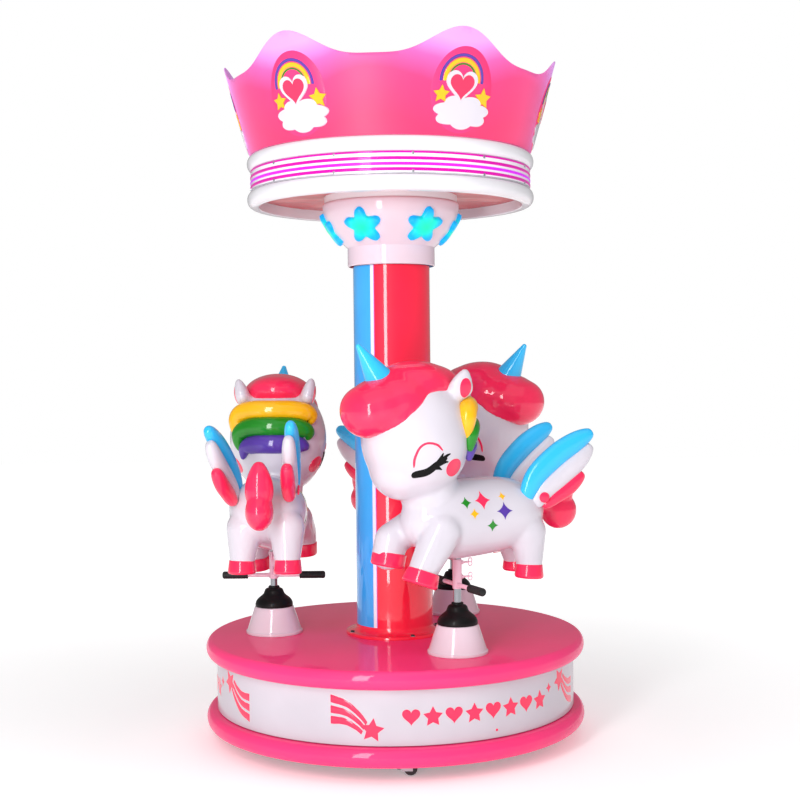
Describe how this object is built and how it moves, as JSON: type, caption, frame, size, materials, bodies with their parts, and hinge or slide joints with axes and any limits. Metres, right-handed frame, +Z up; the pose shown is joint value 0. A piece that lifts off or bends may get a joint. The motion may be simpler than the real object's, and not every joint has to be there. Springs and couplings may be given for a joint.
{
  "type": "kiddie ride",
  "caption": "Round mini carousel kiddie ride with unicorn seats on lift shafts, a striped centre column, a lit canopy ring and a crown-shaped top.",
  "frame": {"origin": "centre of the fixed centre foot's sole, on the floor under the spindle", "axes": "+Z up along the spindle; -Y towards the front, between the front seat and the left seat; +X to the front viewer's right"},
  "size_m": [1.3025, 1.3943, 2.3071],
  "materials": {
    "base_pink": "glossy pink gel coat over fibreglass",
    "skirt_white": "glossy cool white gel coat",
    "frame_steel": "grey powder coat",
    "bright_steel": "ground steel",
    "foot_rubber": "black rubber",
    "motor_grey": "grey enamel",
    "control_box_grey": "light grey powder coat",
    "tread_rubber": "hard black rubber",
    "column_red_pink": "glossy red-pink gel coat",
    "column_blue": "glossy sky blue gel coat",
    "blush": "glossy pale pink gel coat",
    "star_glow": "lit teal to blue diffuser",
    "canopy_white": "glossy white gel coat",
    "canopy_under": "glossy dusty pink gel coat",
    "band_white": "glossy white acrylic",
    "led_magenta": "lit magenta light strip",
    "crown_pink": "glossy pink gel coat",
    "gaiter_rubber": "moulded black rubber",
    "unicorn_white": "glossy white gel coat",
    "hair_pink": "glossy hot pink gel coat",
    "wing_blue": "glossy sky blue gel coat",
    "lock_yellow": "glossy yellow paint",
    "lock_green": "glossy green paint",
    "lock_purple": "glossy purple paint",
    "eye_black": "glossy black paint",
    "chrome": "polished hard chrome",
    "sleeve_blush": "pale pink powder coat",
    "grip_rubber": "ribbed black rubber",
    "linkage_steel": "machined steel",
    "zinc": "bright zinc plate"
  },
  "bodies": {
    "base": {"lower_ring": "base_pink", "chassis_frame": "frame_steel", "center_spindle": "bright_steel", "center_foot": "foot_rubber", "gearmotor": "motor_grey", "control_box": "control_box_grey"},
    "turntable": {"turntable_frame": "frame_steel", "deck": "base_pink", "skirt": "skirt_white", "mast": "frame_steel", "column_shell": "column_red_pink", "capital": "blush", "star_lens": "star_glow", "canopy_base": "canopy_white", "light_band": "band_white", "canopy_ring": "canopy_white", "crown": "crown_pink", "pod_1": "blush", "gaiter_1": "gaiter_rubber", "pod_2": "blush", "gaiter_2": "gaiter_rubber", "pod_3": "blush", "gaiter_3": "gaiter_rubber"},
    "drive_wheel": {"drive_wheel": "tread_rubber"},
    "unicorn_1": {"unicorn_1_body": "unicorn_white", "unicorn_1_wing_left": "wing_blue", "unicorn_1_wing_right": "wing_blue", "lift_shaft_1": "chrome", "foot_bar_1": "sleeve_blush", "foot_grip_1_left": "grip_rubber", "foot_grip_1_right": "grip_rubber"},
    "crank_1": {"crank_1": "linkage_steel"},
    "connecting_rod_1": {"connecting_rod_1": "linkage_steel"},
    "unicorn_2": {"unicorn_2_body": "unicorn_white", "unicorn_2_wing_left": "wing_blue", "unicorn_2_wing_right": "wing_blue", "lift_shaft_2": "chrome", "foot_bar_2": "sleeve_blush", "foot_grip_2_left": "grip_rubber", "foot_grip_2_right": "grip_rubber"},
    "crank_2": {"crank_2": "linkage_steel"},
    "connecting_rod_2": {"connecting_rod_2": "linkage_steel"},
    "unicorn_3": {"unicorn_3_body": "unicorn_white", "unicorn_3_wing_left": "wing_blue", "unicorn_3_wing_right": "wing_blue", "lift_shaft_3": "chrome", "foot_bar_3": "sleeve_blush", "foot_grip_3_left": "grip_rubber", "foot_grip_3_right": "grip_rubber"},
    "crank_3": {"crank_3": "linkage_steel"},
    "connecting_rod_3": {"connecting_rod_3": "linkage_steel"},
    "caster_fork_1": {"caster_fork_1": "zinc"},
    "caster_wheel_1": {"caster_wheel_1": "tread_rubber"},
    "leveling_foot_1": {"leveling_foot_1": "zinc"},
    "caster_fork_2": {"caster_fork_2": "zinc"},
    "caster_wheel_2": {"caster_wheel_2": "tread_rubber"},
    "leveling_foot_2": {"leveling_foot_2": "zinc"},
    "caster_fork_3": {"caster_fork_3": "zinc"},
    "caster_wheel_3": {"caster_wheel_3": "tread_rubber"},
    "leveling_foot_3": {"leveling_foot_3": "zinc"}
  },
  "joints": [
    {"name": "turntable_spin", "type": "hinge", "parent": "base", "child": "turntable", "pos_m": [0, 0, 0.2], "axis": [0, 0, 1], "continuous": true},
    {"name": "drive_wheel_spin", "type": "hinge", "parent": "base", "child": "drive_wheel", "pos_m": [0.20726, 0.1398, 0.2217], "axis": [0.829, 0.5592, 0], "continuous": true},
    {"name": "unicorn_1_lift", "type": "slide", "parent": "turntable", "child": "unicorn_1", "axis": [0, 0, 1], "range_m": [-0.0287, 0.0213]},
    {"name": "crank_1_spin", "type": "hinge", "parent": "turntable", "child": "crank_1", "pos_m": [0.21, -0.36373, 0.1453], "axis": [0.5, -0.866, 0], "continuous": true},
    {"name": "rod_1_swing", "type": "hinge", "parent": "unicorn_1", "child": "connecting_rod_1", "pos_m": [0.21, -0.36373, 0.224], "axis": [0.5, -0.866, 0], "range_deg": [-37.99, 0.95]},
    {"name": "unicorn_2_lift", "type": "slide", "parent": "turntable", "child": "unicorn_2", "axis": [0, 0, 1], "range_m": [-0.01, 0.04]},
    {"name": "crank_2_spin", "type": "hinge", "parent": "turntable", "child": "crank_2", "pos_m": [-0.42, 0, 0.1453], "axis": [-1, 0, 0], "continuous": true},
    {"name": "rod_2_swing", "type": "hinge", "parent": "unicorn_2", "child": "connecting_rod_2", "pos_m": [-0.42, 0, 0.2053], "axis": [-1, 0, 0], "range_deg": [-2.33, 36.62]},
    {"name": "unicorn_3_lift", "type": "slide", "parent": "turntable", "child": "unicorn_3", "axis": [0, 0, 1], "range_m": [-0.0204, 0.0296]},
    {"name": "crank_3_spin", "type": "hinge", "parent": "turntable", "child": "crank_3", "pos_m": [0.21, 0.36373, 0.1453], "axis": [0.5, 0.866, 0], "continuous": true},
    {"name": "rod_3_swing", "type": "hinge", "parent": "unicorn_3", "child": "connecting_rod_3", "pos_m": [0.21, 0.36373, 0.2157], "axis": [0.5, 0.866, 0], "range_deg": [0, 38.94]},
    {"name": "caster_1_swivel", "type": "hinge", "parent": "base", "child": "caster_fork_1", "pos_m": [0.03767, -0.53868, 0.05], "axis": [0, 0, 1], "continuous": true},
    {"name": "caster_1_roll", "type": "hinge", "parent": "caster_fork_1", "child": "caster_wheel_1", "pos_m": [0.05762, -0.53729, 0.023], "axis": [0.0698, -0.9976, 0], "continuous": true},
    {"name": "leveling_foot_1_adjust", "type": "slide", "parent": "base", "child": "leveling_foot_1", "axis": [0, 0, 1], "range_m": [-0.015, 0]},
    {"name": "caster_2_swivel", "type": "hinge", "parent": "base", "child": "caster_fork_2", "pos_m": [0.44768, 0.30196, 0.05], "axis": [0, 0, 1], "continuous": true},
    {"name": "caster_2_roll", "type": "hinge", "parent": "caster_fork_2", "child": "caster_wheel_2", "pos_m": [0.4365, 0.31855, 0.023], "axis": [0.829, 0.5592, 0], "continuous": true},
    {"name": "leveling_foot_2_adjust", "type": "slide", "parent": "base", "child": "leveling_foot_2", "axis": [0, 0, 1], "range_m": [-0.015, 0]},
    {"name": "caster_3_swivel", "type": "hinge", "parent": "base", "child": "caster_fork_3", "pos_m": [-0.48535, 0.23672, 0.05], "axis": [0, 0, 1], "continuous": true},
    {"name": "caster_3_roll", "type": "hinge", "parent": "caster_fork_3", "child": "caster_wheel_3", "pos_m": [-0.49412, 0.21874, 0.023], "axis": [-0.8988, 0.4384, 0], "continuous": true},
    {"name": "leveling_foot_3_adjust", "type": "slide", "parent": "base", "child": "leveling_foot_3", "axis": [0, 0, 1], "range_m": [-0.015, 0]}
  ],
  "couplings": [
    {"joint": "drive_wheel_spin", "follows": "turntable_spin", "ratio": -5},
    {"joint": "crank_1_spin", "follows": "turntable_spin", "ratio": -8},
    {"joint": "crank_2_spin", "follows": "turntable_spin", "ratio": -8},
    {"joint": "crank_3_spin", "follows": "turntable_spin", "ratio": -8}
  ]
}
